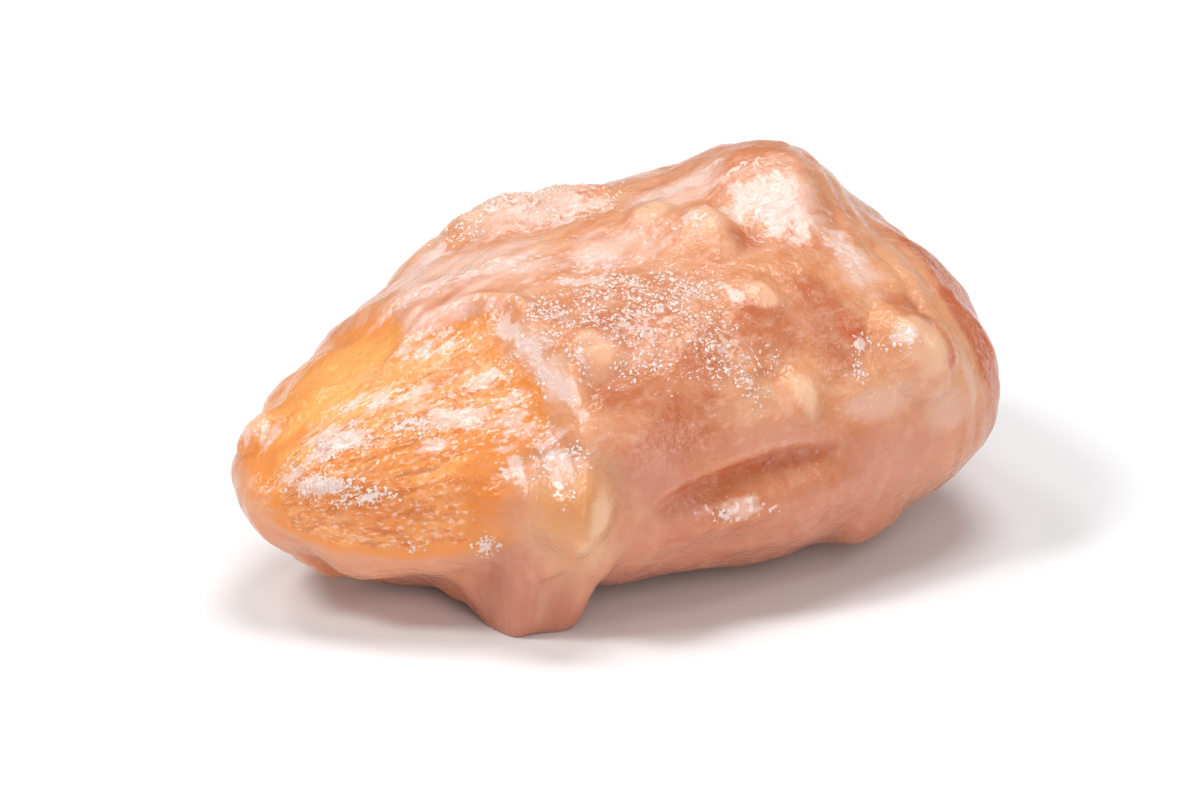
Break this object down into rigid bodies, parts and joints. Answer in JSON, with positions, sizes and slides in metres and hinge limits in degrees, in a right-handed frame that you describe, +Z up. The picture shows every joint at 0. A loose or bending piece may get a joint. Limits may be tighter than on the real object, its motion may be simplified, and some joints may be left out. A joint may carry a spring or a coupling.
{
  "type": "toffee almond",
  "caption": "Whole almond kernel under a lumpy coat of set toffee, bare at its pointed end, with sugar lumps, a fold in the toffee and a drip set below its long edge.",
  "frame": {"origin": "middle of the bounding box on the floor plane that the almond rests on", "axes": "+X along the length towards the round end, +Z up through the thickness, -Y towards the edge with the drip"},
  "size_m": [0.028, 0.018, 0.0129],
  "materials": {
    "toffee": "glossy set toffee over the brown skin of a kernel"
  },
  "bodies": {
    "root": {"toffee_almond": "toffee"}
  },
  "joints": []
}
